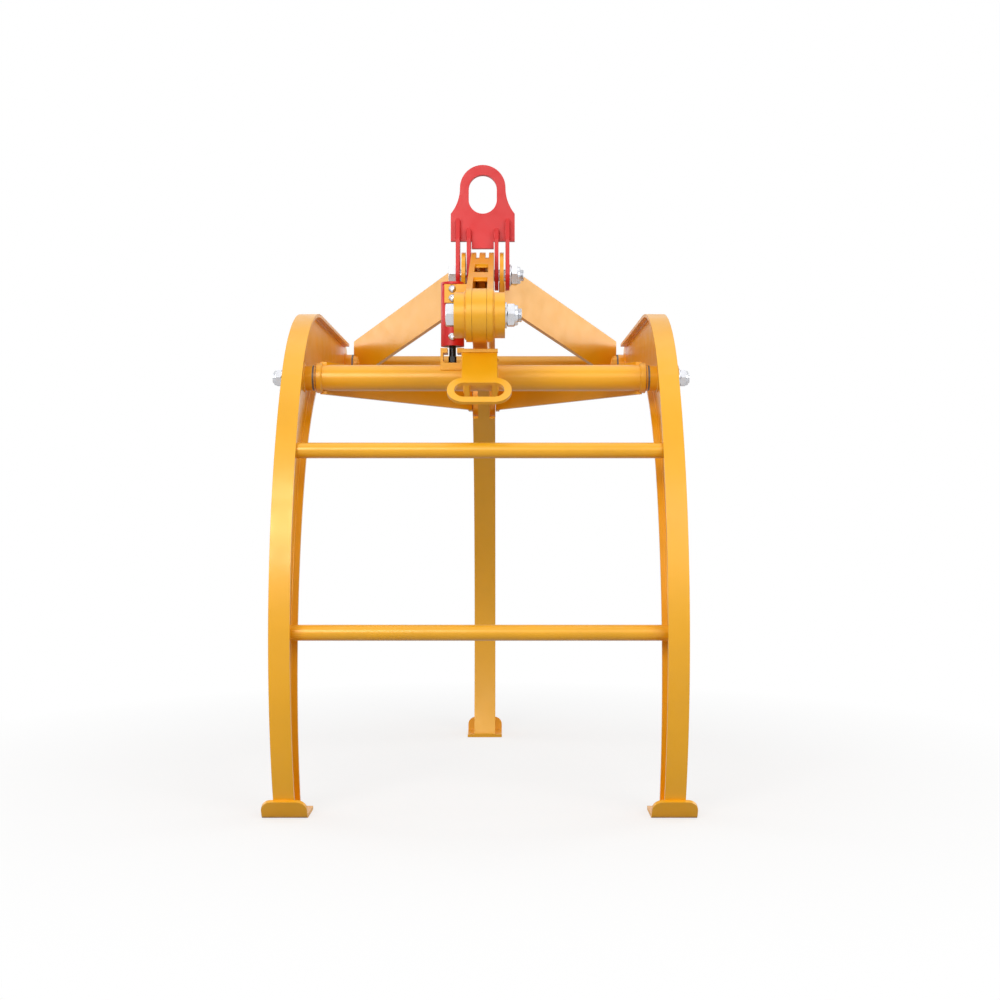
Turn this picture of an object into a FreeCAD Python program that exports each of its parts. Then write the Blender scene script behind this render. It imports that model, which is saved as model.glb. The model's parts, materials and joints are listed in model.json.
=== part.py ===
import FreeCAD, Part
import math
import os
import re
from FreeCAD import Placement, Rotation, Vector

os.makedirs("parts", exist_ok=True)
doc = FreeCAD.newDocument("RockLifter")
sheet = doc.addObject("Spreadsheet::Sheet", "Dimensions")
aliases = []
pieces = []


def dimension(alias, size):
    """Write one driving dimension to the sheet, in millimetres or degrees, and return it."""
    row = len(aliases) + 1
    sheet.set(f"A{row}", alias)
    sheet.set(f"B{row}", str(size))
    sheet.setAlias(f"B{row}", alias)
    aliases.append(alias)
    return size


# The frame stands with +Z up. X runs across the two front arms, Y from the front arms to the
# rear arm, and the origin is on the floor in the middle of the open jaws.
# Places of the five pivots: the jaws' own pivots, the link pivots and the hanger bolt.
jaw_pivot_reach = dimension("jaw_pivot_reach", 307.5)
jaw_pivot_height = dimension("jaw_pivot_height", 963)
link_pivot_reach = dimension("link_pivot_reach", 542.5)
link_pivot_rise = dimension("link_pivot_rise", 114)
hanger_rise = dimension("hanger_rise", 173)

# The curved edges of a jaw: a large arc from the foot, then a smaller one into the lever.
outer_arc_radius = dimension("outer_arc_radius", 980)
outer_arc_reach = dimension("outer_arc_reach", 347.5)
outer_arc_height = dimension("outer_arc_height", 390)
outer_blend_radius = dimension("outer_blend_radius", 420)
inner_arc_reduction = dimension("inner_arc_reduction", 100)
inner_arc_reach = dimension("inner_arc_reach", 363.5)
inner_arc_height = dimension("inner_arc_height", 300)
inner_blend_radius = dimension("inner_blend_radius", 554)
lug_radius = dimension("lug_radius", 57)
strip_thickness = dimension("strip_thickness", 8)

# Front arms: an upright web with a strip along each edge.
arm_centre = dimension("arm_centre", 416.5)
web_thickness = dimension("web_thickness", 16)
strip_width = dimension("strip_width", 45)
front_strip_end = dimension("front_strip_end", 513.5)
inner_boss_length = dimension("inner_boss_length", 20)
outer_boss_length = dimension("outer_boss_length", 30.5)
boss_diameter = dimension("boss_diameter", 58)
rung_diameter = dimension("rung_diameter", 34)
upper_rung_inset = dimension("upper_rung_inset", 30.5)
upper_rung_height = dimension("upper_rung_height", 788)
lower_rung_inset = dimension("lower_rung_inset", 60)
lower_rung_height = dimension("lower_rung_height", 399)

# Rear arm: one thicker web in the middle plane.
rear_web_thickness = dimension("rear_web_thickness", 31)
rear_strip_width = dimension("rear_strip_width", 60)
rear_top_strip_end = dimension("rear_top_strip_end", 72.5)
rear_inner_strip_angle = dimension("rear_inner_strip_angle", 128)
rear_hub_length = dimension("rear_hub_length", 62)
rear_hub_diameter = dimension("rear_hub_diameter", 110)

# Feet: a flat sole with its outer end turned up.
foot_thickness = dimension("foot_thickness", 8)
foot_width = dimension("foot_width", 103)
foot_heel_margin = dimension("foot_heel_margin", 2)
foot_toe_margin = dimension("foot_toe_margin", 17.5)
foot_tip_length = dimension("foot_tip_length", 33.5)
foot_tip_angle = dimension("foot_tip_angle", 47)
foot_tip_radius = dimension("foot_tip_radius", 62)

# Side pivots: tubes, collars, bushes and M24 studs.
side_stud_diameter = dimension("side_stud_diameter", 24)
side_nut_flats = dimension("side_nut_flats", 36)
side_nut_height = dimension("side_nut_height", 19)
side_washer_diameter = dimension("side_washer_diameter", 44)
washer_thickness = dimension("washer_thickness", 4)
stud_projection = dimension("stud_projection", 3)
stud_inside_tube = dimension("stud_inside_tube", 34)
running_clearance = dimension("running_clearance", 0.06)
side_gap = dimension("side_gap", 0.3)
thrust_ring_thickness = dimension("thrust_ring_thickness", 4.2)
front_tube_diameter = dimension("front_tube_diameter", 60)
rear_tube_diameter = dimension("rear_tube_diameter", 50)
tube_wall = dimension("tube_wall", 5)
collar_width = dimension("collar_width", 12.5)
front_collar_wall = dimension("front_collar_wall", 5)
rear_collar_wall = dimension("rear_collar_wall", 2)
bush_length = dimension("bush_length", 40)

# Frame: two flat bars in a V from the front tube to the rear fork.
v_bar_thickness = dimension("v_bar_thickness", 12)
v_bar_height = dimension("v_bar_height", 75)
v_bar_outer_reach = dimension("v_bar_outer_reach", 372)
fork_thickness = dimension("fork_thickness", 10)
fork_clearance = dimension("fork_clearance", 1)
fork_radius = dimension("fork_radius", 50)
fork_front_reach = dimension("fork_front_reach", 60)

# Main pivots: M30 bolts.
main_bolt_diameter = dimension("main_bolt_diameter", 30)
main_bolt_flats = dimension("main_bolt_flats", 46)
main_head_height = dimension("main_head_height", 18.7)
main_nut_height = dimension("main_nut_height", 24)
main_washer_diameter = dimension("main_washer_diameter", 56)
main_bolt_projection = dimension("main_bolt_projection", 8)

# Front link: two plates, cross plates between them and a middle lug at the hanger bolt.
link_plate_thickness = dimension("link_plate_thickness", 12.5)
link_half_height = dimension("link_half_height", 57.5)
link_clearance = dimension("link_clearance", 0.5)
cross_plate_thickness = dimension("cross_plate_thickness", 10)
front_cross_start = dimension("front_cross_start", 160)
front_cross_length = dimension("front_cross_length", 78)
rear_cross_start = dimension("rear_cross_start", 368)
rear_cross_length = dimension("rear_cross_length", 92)
middle_lug_thickness = dimension("middle_lug_thickness", 15)
link_drum_diameter = dimension("link_drum_diameter", 98)
link_drum_length = dimension("link_drum_length", 25.9)

# Rear link: two plates and two diagonal braces on a tube.
rear_plate_thickness = dimension("rear_plate_thickness", 10)
rear_plate_spacing = dimension("rear_plate_spacing", 86)
open_pivot_diameter = dimension("open_pivot_diameter", 41)
brace_thickness = dimension("brace_thickness", 10)
brace_start = dimension("brace_start", 67.5)
rear_plate_length = dimension("rear_plate_length", 136)

# Hanger: the lifting eye, its two pairs of lugs and the bolt.
eye_plate_thickness = dimension("eye_plate_thickness", 15)
eye_outer_radius = dimension("eye_outer_radius", 57.7)
eye_rise = dimension("eye_rise", 220.9)
eye_slot_radius = dimension("eye_slot_radius", 35.5)
eye_slot_drop = dimension("eye_slot_drop", 2.9)
eye_slot_straight = dimension("eye_slot_straight", 27)
shoulder_half_width = dimension("shoulder_half_width", 81)
shoulder_drop = dimension("shoulder_drop", 65.9)
flare_depth = dimension("flare_depth", 6)
shoulder_clearance = dimension("shoulder_clearance", 28.5)
tongue_half_width = dimension("tongue_half_width", 28)
tongue_clearance = dimension("tongue_clearance", 10)
hanger_lug_thickness = dimension("hanger_lug_thickness", 10)
hanger_lug_radius = dimension("hanger_lug_radius", 38)
outer_lug_inside = dimension("outer_lug_inside", 57.5)
outer_lug_lap = dimension("outer_lug_lap", 54)
inner_lug_inside = dimension("inner_lug_inside", 30)
inner_lug_lap = dimension("inner_lug_lap", 30)
lug_top_width = dimension("lug_top_width", 48)

# Hand grip on the front tube.
grip_width = dimension("grip_width", 76)
grip_thickness = dimension("grip_thickness", 8)
grip_shelf_length = dimension("grip_shelf_length", 180)
grip_shelf_start = dimension("grip_shelf_start", 15)
grip_shelf_rise = dimension("grip_shelf_rise", 15)
grip_slope = dimension("grip_slope", 49)
grip_ring_length = dimension("grip_ring_length", 84)
grip_ring_width = dimension("grip_ring_width", 137)
grip_ring_depth = dimension("grip_ring_depth", 73)
grip_rim = dimension("grip_rim", 15.5)
grip_rib_spacing = dimension("grip_rib_spacing", 52)
grip_rib_thickness = dimension("grip_rib_thickness", 12)
grip_rib_drop = dimension("grip_rib_drop", 48)
grip_rib_length = dimension("grip_rib_length", 84.5)

# Latch: a keeper on the front tube and a turning T-head in a housing on the front link.
latch_side_reach = dimension("latch_side_reach", 66)
keeper_width = dimension("keeper_width", 54)
keeper_depth = dimension("keeper_depth", 50)
keeper_rise = dimension("keeper_rise", 37)
keeper_lip = dimension("keeper_lip", 11)
keeper_gap = dimension("keeper_gap", 22)
keeper_cavity_width = dimension("keeper_cavity_width", 42)
keeper_floor = dimension("keeper_floor", 3)
keeper_corner = dimension("keeper_corner", 4)
head_width = dimension("head_width", 18)
head_length = dimension("head_length", 34)
head_clearance = dimension("head_clearance", 2)
head_corner = dimension("head_corner", 4)
head_thickness = dimension("head_thickness", 13)
stem_diameter = dimension("stem_diameter", 16)
housing_diameter = dimension("housing_diameter", 54)
housing_bore = dimension("housing_bore", 38)
housing_clearance = dimension("housing_clearance", 6)
housing_crown = dimension("housing_crown", 6)
window_below_bracket = dimension("window_below_bracket", 49)
window_depth = dimension("window_depth", 12)
bracket_thickness = dimension("bracket_thickness", 8)
bracket_offset = dimension("bracket_offset", 3.5)
bracket_height = dimension("bracket_height", 43)
bracket_overhang = dimension("bracket_overhang", 18)
guide_length = dimension("guide_length", 36)
screw_head_diameter = dimension("screw_head_diameter", 14)
screw_head_height = dimension("screw_head_height", 5)
screw_spacing = dimension("screw_spacing", 21)
lower_screw_offset = dimension("lower_screw_offset", 2)

# Places that follow from the driving dimensions.
link_pivot_height = jaw_pivot_height + link_pivot_rise
hanger_height = link_pivot_height + hanger_rise
shoulder_bottom = hanger_height + link_half_height + shoulder_clearance
eye_centre_height = hanger_height + eye_rise
tube_top = jaw_pivot_height + front_tube_diameter / 2
keeper_top = tube_top + keeper_rise
head_bottom = tube_top + keeper_floor + head_clearance
housing_bottom = keeper_top + housing_clearance
link_line = link_pivot_height + hanger_rise * (1 - jaw_pivot_reach / link_pivot_reach)
bracket_middle = link_line + bracket_offset
bracket_bottom = bracket_middle - bracket_height / 2
bracket_top = bracket_middle + bracket_height / 2
window_bottom = bracket_bottom - window_below_bracket
window_top = bracket_top + side_gap
housing_top = bracket_top + housing_crown
jaw_top = link_pivot_height + lug_radius
inner_arc_radius = outer_arc_radius - inner_arc_reduction
lever_bottom = link_pivot_height - lug_radius
tube_end = "arm_centre - web_thickness / 2 - inner_boss_length - thrust_ring_thickness - side_gap"
front_pivot = ("0", "-jaw_pivot_reach", "jaw_pivot_height")
rear_pivot = ("0", "jaw_pivot_reach", "jaw_pivot_height")
drum_pivot = ("0", "-link_pivot_reach", "jaw_pivot_height + link_pivot_rise")
tube_pivot = ("0", "link_pivot_reach", "jaw_pivot_height + link_pivot_rise")
hanger_pivot = ("0", "0", "jaw_pivot_height + link_pivot_rise + hanger_rise")
latch_base = ("-latch_side_reach", "-jaw_pivot_reach", "0")
link_length = math.hypot(link_pivot_reach, hanger_rise)
link_slope = math.atan2(hanger_rise, link_pivot_reach)
doc.recompute()


def bind(target, prop, formula):
    """Bind a property to a formula written in the sheet's aliases."""
    def full_name(word):
        return "Dimensions." + word.group(0) if word.group(0) in aliases else word.group(0)
    target.setExpression(prop, re.sub(r"[a-z][a-z_]*", full_name, formula))


def new_body(name, base=("0", "0", "0")):
    """Start a sub-part as a body whose own origin lies at the base."""
    body = doc.addObject("PartDesign::Body", name)
    body.Label = name
    body.AllowCompound = True
    for axis, formula in zip("xyz", base):
        bind(body, "Placement.Base." + axis, formula)
    pieces.append(body)
    return body


def origin_feature(body, role):
    return next(item for item in body.Origin.OriginFeatures if item.Role == role)


def new_sketch(body, role, shift="0"):
    """Start a sketch on one of the body's planes, shifted along the plane's normal."""
    sketch = body.newObject("Sketcher::SketchObject", body.Name + "_sketch")
    sketch.AttachmentSupport = [(origin_feature(body, role), "")]
    sketch.MapMode = "FlatFace"
    bind(sketch, "AttachmentOffset.Base.z", shift)
    return sketch


def vector(point):
    return Vector(point[0], point[1], 0)


def draw(sketch, start, steps, flip=1):
    """Draw a closed outline. A step is (end,) for a line or (middle, end) for an arc."""
    def place(point):
        return Vector(flip * point[0], point[1], 0)
    here = start
    closing = [] if steps[-1][-1] == start else [(start,)]
    for step in steps + closing:
        if len(step) == 1:
            edge = Part.LineSegment(place(here), place(step[0]))
        else:
            edge = Part.Arc(place(here), place(step[0]), place(step[1]))
        sketch.addGeometry(edge, False)
        here = step[-1]


def draw_box(sketch, left, bottom, right, top):
    draw(sketch, (left, bottom), [((right, bottom),), ((right, top),), ((left, top),)])


def draw_circle(sketch, radius, centre=(0, 0)):
    sketch.addGeometry(Part.Circle(vector(centre), Vector(0, 0, 1), radius), False)


def draw_hexagon(sketch, flats):
    corner = flats / math.sqrt(3)
    corners = [polar((0, 0), corner, math.radians(60 * turn)) for turn in range(6)]
    draw(sketch, corners[0], [(point,) for point in corners[1:]])


def polar(centre, radius, angle):
    return (centre[0] + radius * math.cos(angle), centre[1] + radius * math.sin(angle))


def backwards(start, steps):
    """Turn a run of steps round."""
    points = [start] + [step[-1] for step in steps]
    turned = [step[:-1] + (point,) for step, point in zip(reversed(steps), reversed(points[:-1]))]
    return points[-1], turned


def pad(body, sketch, length, both=False, back=False):
    feature = body.newObject("PartDesign::Pad", body.Name + "_pad")
    feature.Profile = sketch
    if both:
        feature.SideType = "Symmetric"
    feature.Reversed = back
    bind(feature, "Length", length)
    body.Tip = feature
    return feature


def cut_through(body, sketch):
    """Cut the sketch right through the body, both ways."""
    feature = body.newObject("PartDesign::Pocket", body.Name + "_cut")
    feature.Profile = sketch
    feature.SideType = "Symmetric"
    feature.Type = "ThroughAll"
    body.Tip = feature
    return feature


def mirror_across(body, originals):
    """Repeat features on the other side of the body's YZ plane."""
    feature = body.newObject("PartDesign::Mirrored", body.Name + "_mirror")
    feature.Originals = originals
    feature.MirrorPlane = (origin_feature(body, "YZ_Plane"), [""])
    body.Tip = feature
    return feature


def ring_pair(name, base, start, length, outer, bore):
    """Two equal rings round the X axis of a pivot, one on each side."""
    body = new_body(name, base)
    sketch = new_sketch(body, "YZ_Plane", start)
    draw_circle(sketch, outer / 2)
    if bore:
        draw_circle(sketch, bore / 2)
    mirror_across(body, [pad(body, sketch, length)])
    return body


def ring_between(name, base, length, outer, bore=0):
    """A ring or bar round the X axis of a pivot, centred on the middle plane."""
    body = new_body(name, base)
    sketch = new_sketch(body, "YZ_Plane")
    draw_circle(sketch, outer / 2)
    if bore:
        draw_circle(sketch, bore / 2)
    pad(body, sketch, length, both=True)
    return body


def running_bore(shaft):
    return shaft + 2 * running_clearance


def jaw_edge(centre, radius, blend, top, end_angle=math.pi / 2, straight_end=None):
    """One edge of a jaw from the foot to its upper end, drawn for the front jaw."""
    blend_angle = math.pi - math.asin((top - centre[1] - blend) / (radius - blend))
    blend_centre = polar(centre, radius - blend, blend_angle)
    foot_angle = math.pi + math.asin((centre[1] - foot_thickness) / radius)
    start = polar(centre, radius, foot_angle)
    steps = [
        (polar(centre, radius, (foot_angle + blend_angle) / 2), polar(centre, radius, blend_angle)),
        (polar(blend_centre, blend, (blend_angle + end_angle) / 2), polar(blend_centre, blend, end_angle)),
    ]
    if straight_end is not None:
        steps.append(((straight_end, top),))
    return start, steps


def outer_edge(inset=0, **end):
    centre = (outer_arc_reach, outer_arc_height)
    return jaw_edge(centre, outer_arc_radius - inset, outer_blend_radius - inset, jaw_top - inset, **end)


def inner_edge(inset=0, **end):
    centre = (inner_arc_reach, inner_arc_height)
    return jaw_edge(centre, inner_arc_radius + inset, inner_blend_radius + inset, lever_bottom + inset, **end)


def foot_reach(edge):
    """Where an edge of the jaw meets the sole, along Y, for the front jaw."""
    return edge()[0][0]


def draw_web(sketch, flip):
    """The whole side view of a jaw: the curved arm, the lever and the round lug at its end."""
    start, steps = outer_edge(straight_end=link_pivot_reach)
    inner_end, inner_steps = backwards(*inner_edge(straight_end=link_pivot_reach))
    lug_tip = (link_pivot_reach + lug_radius, link_pivot_height)
    draw(sketch, start, steps + [(lug_tip, inner_end)] + inner_steps, flip)


def draw_strip(sketch, edge, flip, **end):
    """A strip of one thickness along an edge of the jaw."""
    start, steps = edge(**end)
    far_end, far_steps = backwards(*edge(inset=strip_thickness, **end))
    draw(sketch, start, steps + [(far_end,)] + far_steps, flip)


def add_pad(body, length, circle_radius, centre, side=None, start="0"):
    """Add a round boss, either through the middle plane or standing on one side of it."""
    sketch = new_sketch(body, "YZ_Plane", start)
    draw_circle(sketch, circle_radius, centre)
    return pad(body, sketch, length, both=side is None, back=side == -1)


def drill(body, diameter, centre):
    sketch = new_sketch(body, "YZ_Plane")
    draw_circle(sketch, diameter / 2, centre)
    return cut_through(body, sketch)


def front_arm(name, side):
    """A front arm: web, strips, and a long boss outside and a short one inside at both pivots."""
    body = new_body(name, (f"{side} * arm_centre", "0", "0"))
    web = new_sketch(body, "YZ_Plane")
    draw_web(web, 1)
    pad(body, web, "web_thickness", both=True)
    for edge in (outer_edge, inner_edge):
        strip = new_sketch(body, "YZ_Plane")
        draw_strip(strip, edge, 1, straight_end=front_strip_end)
        pad(body, strip, "strip_width", both=True)
    for centre in ((-jaw_pivot_reach, jaw_pivot_height), (link_pivot_reach, link_pivot_height)):
        add_pad(body, "outer_boss_length + web_thickness / 2", boss_diameter / 2, centre, side)
        add_pad(body, "inner_boss_length + web_thickness / 2", boss_diameter / 2, centre, -side)
        drill(body, running_bore(side_stud_diameter), centre)


def rear_arm():
    """The rear arm: web, strips, the hub on the frame's fork and the lug at the front link."""
    body = new_body("rear_arm")
    web = new_sketch(body, "YZ_Plane")
    draw_web(web, -1)
    pad(body, web, "rear_web_thickness", both=True)
    outer = new_sketch(body, "YZ_Plane")
    draw_strip(outer, outer_edge, -1, straight_end=rear_top_strip_end)
    pad(body, outer, "rear_strip_width", both=True)
    inner = new_sketch(body, "YZ_Plane")
    draw_strip(inner, inner_edge, -1, end_angle=math.radians(rear_inner_strip_angle))
    pad(body, inner, "rear_strip_width", both=True)
    add_pad(body, "rear_hub_length", rear_hub_diameter / 2, (jaw_pivot_reach, jaw_pivot_height))
    drill(body, running_bore(main_bolt_diameter), (jaw_pivot_reach, jaw_pivot_height))
    drill(body, running_bore(main_bolt_diameter), (-link_pivot_reach, link_pivot_height))


def foot(name, centre_x, flip):
    """A foot: a sole with its outer end bent up, and the tip rounded in plan."""
    body = new_body(name, (centre_x, "0", "0"))
    profile = new_sketch(body, "YZ_Plane")
    angle = math.radians(foot_tip_angle)
    heel = foot_reach(inner_edge) + foot_heel_margin
    bend = foot_reach(outer_edge) - foot_toe_margin
    tip_reach = bend - foot_tip_length
    rise = foot_tip_length * math.tan(angle)
    across = (foot_thickness * math.sin(angle), foot_thickness * math.cos(angle))
    inside_bend = bend + foot_thickness * math.tan(angle / 2)
    tip = (tip_reach, rise)
    draw(profile, (heel, 0), [
        ((bend, 0),),
        (tip,),
        ((tip[0] + across[0], tip[1] + across[1]),),
        ((inside_bend, foot_thickness),),
        ((heel, foot_thickness),),
    ], flip)
    pad(body, profile, "foot_width", both=True)
    plan = new_sketch(body, "XY_Plane")
    half = foot_width / 2
    sagitta = foot_tip_radius - math.sqrt(foot_tip_radius ** 2 - half ** 2)
    corner = flip * (tip_reach + sagitta)
    crown = flip * tip_reach
    far = flip * (tip_reach - foot_width)
    draw(plan, (-half, corner), [((0, crown), (half, corner)), ((half, far),), ((-half, far),)])
    cut_through(body, plan)


def side_pivot_hardware(prefix, base):
    """The studs, nuts, washers and thrust rings that carry a tube between the front arms."""
    boss_face = "arm_centre + web_thickness / 2 + outer_boss_length"
    ring_pair(f"{prefix}_studs", base, f"{tube_end} - stud_inside_tube",
              "stud_inside_tube + side_gap + thrust_ring_thickness + inner_boss_length + web_thickness"
              " + outer_boss_length + washer_thickness + side_nut_height + stud_projection",
              side_stud_diameter, 0)
    ring_pair(f"{prefix}_washers", base, boss_face, "washer_thickness", side_washer_diameter,
              running_bore(side_stud_diameter))
    ring_pair(f"{prefix}_thrust_rings", base, f"{tube_end} + side_gap", "thrust_ring_thickness",
              boss_diameter, running_bore(side_stud_diameter))
    nuts = new_body(f"{prefix}_nuts", base)
    sketch = new_sketch(nuts, "YZ_Plane", f"{boss_face} + washer_thickness")
    draw_hexagon(sketch, side_nut_flats)
    draw_circle(sketch, running_bore(side_stud_diameter) / 2)
    mirror_across(nuts, [pad(nuts, sketch, "side_nut_height")])


def cross_tube(prefix, base, diameter, collar_wall):
    """A tube between the front arms, with a collar and a bush at each end."""
    ring_between(f"{prefix}_tube", base, f"2 * ({tube_end})", diameter, diameter - 2 * tube_wall)
    ring_pair(f"{prefix}_tube_collars", base, f"{tube_end} - collar_width", "collar_width",
              diameter + 2 * collar_wall, diameter)
    ring_pair(f"{prefix}_tube_bushes", base, f"{tube_end} - bush_length", "bush_length",
              diameter - 2 * tube_wall, running_bore(side_stud_diameter))


def main_bolt(prefix, base, grip, washer_side=True):
    """An M30 bolt with its head on the left, and a washer and nut on the right."""
    bolt = new_body(f"{prefix}_bolt", base)
    shank = new_sketch(bolt, "YZ_Plane", f"-({grip})")
    draw_circle(shank, main_bolt_diameter / 2)
    pad(bolt, shank, f"2 * ({grip}) + washer_thickness + main_nut_height + main_bolt_projection")
    head = new_sketch(bolt, "YZ_Plane", f"-({grip})")
    draw_hexagon(head, main_bolt_flats)
    pad(bolt, head, "main_head_height", back=True)
    washer = new_body(f"{prefix}_washer", base)
    disc = new_sketch(washer, "YZ_Plane", grip)
    draw_circle(disc, main_washer_diameter / 2)
    draw_circle(disc, running_bore(main_bolt_diameter) / 2)
    pad(washer, disc, "washer_thickness")
    nut = new_body(f"{prefix}_nut", base)
    flats = new_sketch(nut, "YZ_Plane", f"{grip} + washer_thickness")
    draw_hexagon(flats, main_bolt_flats)
    draw_circle(flats, running_bore(main_bolt_diameter) / 2)
    pad(nut, flats, "main_nut_height")


def v_bar(name, side):
    """A flat bar on edge, coped round the front tube and ending at the rear fork."""
    body = new_body(name, ("0", "0", "jaw_pivot_height"))
    plan = new_sketch(body, "XY_Plane")
    fork_inside = rear_hub_length / 2 + fork_clearance
    fork_end = jaw_pivot_reach - fork_front_reach
    run = fork_end + jaw_pivot_reach
    slope = math.atan2(v_bar_outer_reach - fork_inside, run)
    breadth = v_bar_thickness / math.cos(slope)
    draw(plan, (v_bar_outer_reach - breadth, -jaw_pivot_reach), [
        ((v_bar_outer_reach, -jaw_pivot_reach),),
        ((fork_inside + breadth, fork_end),),
        ((fork_inside, fork_end),),
    ], side)
    pad(body, plan, "v_bar_height", both=True)
    cope(body, front_tube_diameter, (-jaw_pivot_reach, 0))


def cope(body, diameter, centre):
    """Cut the round of a tube out of a piece that is welded against it."""
    sketch = new_sketch(body, "YZ_Plane")
    draw_circle(sketch, diameter / 2, centre)
    cut_through(body, sketch)


def rear_fork(name, side):
    body = new_body(name, ("0", "jaw_pivot_reach", "jaw_pivot_height"))
    plate = new_sketch(body, "YZ_Plane", f"{side} * (rear_hub_length / 2 + fork_clearance)")
    half = v_bar_height / 2
    drop = math.sqrt(fork_radius ** 2 - half ** 2)
    draw(plate, (-fork_front_reach, -half), [
        ((-drop, -half),),
        ((fork_radius, 0), (-drop, half)),
        ((-fork_front_reach, half),),
    ])
    pad(body, plate, "fork_thickness", back=side == -1)
    drill(body, running_bore(main_bolt_diameter), (0, 0))


def link_frame(point):
    """Turn a place along the front link and above its centre line into model Y and Z."""
    along, above = point
    return (-link_pivot_reach + along * math.cos(link_slope) - above * math.sin(link_slope),
            link_pivot_height + along * math.sin(link_slope) + above * math.cos(link_slope))


def link_outline(start, end, half, round_start):
    """A bar along the link with a round end at the hanger bolt, and one at its start if asked."""
    first = link_frame((start, half))
    steps = [
        (link_frame((end, half)),),
        (link_frame((end + half, 0)), link_frame((end, -half))),
        (link_frame((start, -half)),),
    ]
    if round_start:
        steps.append((link_frame((start - half, 0)), first))
    return first, steps


def link_plate(name, side):
    body = new_body(name)
    plate = new_sketch(body, "YZ_Plane", f"{side} * (rear_web_thickness / 2 + link_clearance)")
    draw(plate, *link_outline(0, link_length, link_half_height, True))
    pad(body, plate, "link_plate_thickness", back=side == -1)
    drill(body, running_bore(main_bolt_diameter), (-link_pivot_reach, link_pivot_height))
    drill(body, running_bore(main_bolt_diameter), (0, hanger_height))


def link_cross_plates():
    """Two plates set between the link's side plates, flush with their upper edges."""
    body = new_body("link_cross_plates")
    for start, length in ((front_cross_start, front_cross_length), (rear_cross_start, rear_cross_length)):
        sketch = new_sketch(body, "YZ_Plane")
        low = link_half_height - cross_plate_thickness
        draw(sketch, link_frame((start, low)), [
            (link_frame((start, link_half_height)),),
            (link_frame((start + length, link_half_height)),),
            (link_frame((start + length, low)),),
        ])
        pad(body, sketch, "rear_web_thickness + 2 * link_clearance", both=True)


def link_middle_lug():
    """The middle lug: a round-ended plate from the rear cross plate to the hanger bolt."""
    body = new_body("link_middle_lug")
    plate = new_sketch(body, "YZ_Plane")
    start = rear_cross_start + rear_cross_length
    draw(plate, *link_outline(start, link_length, link_half_height, False))
    pad(body, plate, "middle_lug_thickness", both=True)
    drill(body, running_bore(main_bolt_diameter), (0, hanger_height))


def rear_frame(point):
    """The mirror image of the front link's frame, for the rear link."""
    reach, height = link_frame(point)
    return (-reach, height)


def rear_link_plate(name, side):
    body = new_body(name)
    plate = new_sketch(body, "YZ_Plane", f"{side} * rear_plate_spacing / 2")
    first, steps = link_outline(link_length - rear_plate_length, link_length, link_half_height, False)
    draw(plate, first, steps, -1)
    pad(body, plate, "rear_plate_thickness", back=side == -1)
    drill(body, open_pivot_diameter, (0, hanger_height))


def brace(name, side):
    """A diagonal flat bar on edge that follows the slope of the rear link."""
    body = new_body(name)
    plan = new_sketch(body, "XY_Plane", "jaw_pivot_height + link_pivot_rise - 2 * lug_radius")
    plate_face = rear_plate_spacing / 2 + rear_plate_thickness
    tube_half = arm_centre - web_thickness / 2 - inner_boss_length - thrust_ring_thickness - side_gap
    outside = tube_half - collar_width
    slope = math.atan2(outside - plate_face, link_pivot_reach - brace_start)
    breadth = brace_thickness / math.cos(slope)
    draw(plan, (plate_face, brace_start), [
        ((plate_face, brace_start + brace_thickness / math.sin(slope)),),
        ((outside - breadth, link_pivot_reach),),
        ((outside, link_pivot_reach),),
    ], side)
    pad(body, plan, "hanger_rise + 4 * lug_radius")
    sky = hanger_rise + 4 * lug_radius
    for sign in (1, -1):
        waste = new_sketch(body, "YZ_Plane")
        near = -lug_radius
        far = link_length + lug_radius
        draw(waste, rear_frame((near, sign * link_half_height)), [
            (rear_frame((near, sign * (link_half_height + sky))),),
            (rear_frame((far, sign * (link_half_height + sky))),),
            (rear_frame((far, sign * link_half_height)),),
        ])
        cut_through(body, waste)
    cope(body, rear_tube_diameter, (link_pivot_reach, link_pivot_height))


def eye_plate():
    """The lifting eye: a round head on concave flanks, broad shoulders and a tongue."""
    body = new_body("eye_plate")
    sketch = new_sketch(body, "XZ_Plane")
    crown = eye_centre_height + eye_outer_radius
    shoulder_height = eye_centre_height - shoulder_drop
    tongue_bottom = hanger_height + link_half_height + tongue_clearance
    eye_slot_upper = eye_centre_height - eye_slot_drop
    eye_slot_lower = eye_slot_upper - eye_slot_straight
    flank = flare_middle((eye_outer_radius, eye_centre_height), (shoulder_half_width, shoulder_height))
    draw(sketch, (-eye_outer_radius, eye_centre_height), [
        ((0, crown), (eye_outer_radius, eye_centre_height)),
        (flank, (shoulder_half_width, shoulder_height)),
        ((shoulder_half_width, shoulder_bottom),),
        ((tongue_half_width, shoulder_bottom),),
        ((tongue_half_width, tongue_bottom),),
        ((-tongue_half_width, tongue_bottom),),
        ((-tongue_half_width, shoulder_bottom),),
        ((-shoulder_half_width, shoulder_bottom),),
        ((-shoulder_half_width, shoulder_height),),
        ((-flank[0], flank[1]), (-eye_outer_radius, eye_centre_height)),
    ])
    pad(body, sketch, "eye_plate_thickness", both=True)
    slot = new_sketch(body, "XZ_Plane")
    radius = eye_slot_radius
    draw(slot, (-radius, eye_slot_lower), [
        ((-radius, eye_slot_upper),),
        ((0, eye_slot_upper + radius), (radius, eye_slot_upper)),
        ((radius, eye_slot_lower),),
        ((0, eye_slot_lower - radius), (-radius, eye_slot_lower)),
    ])
    cut_through(body, slot)


def flare_middle(upper, lower):
    """The middle of the concave flank between the eye and the shoulder."""
    half = math.dist(upper, lower) / 2
    run = (lower[0] - upper[0], lower[1] - upper[1])
    return ((upper[0] + lower[0]) / 2 + flare_depth * run[1] / (2 * half),
            (upper[1] + lower[1]) / 2 - flare_depth * run[0] / (2 * half))


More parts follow.
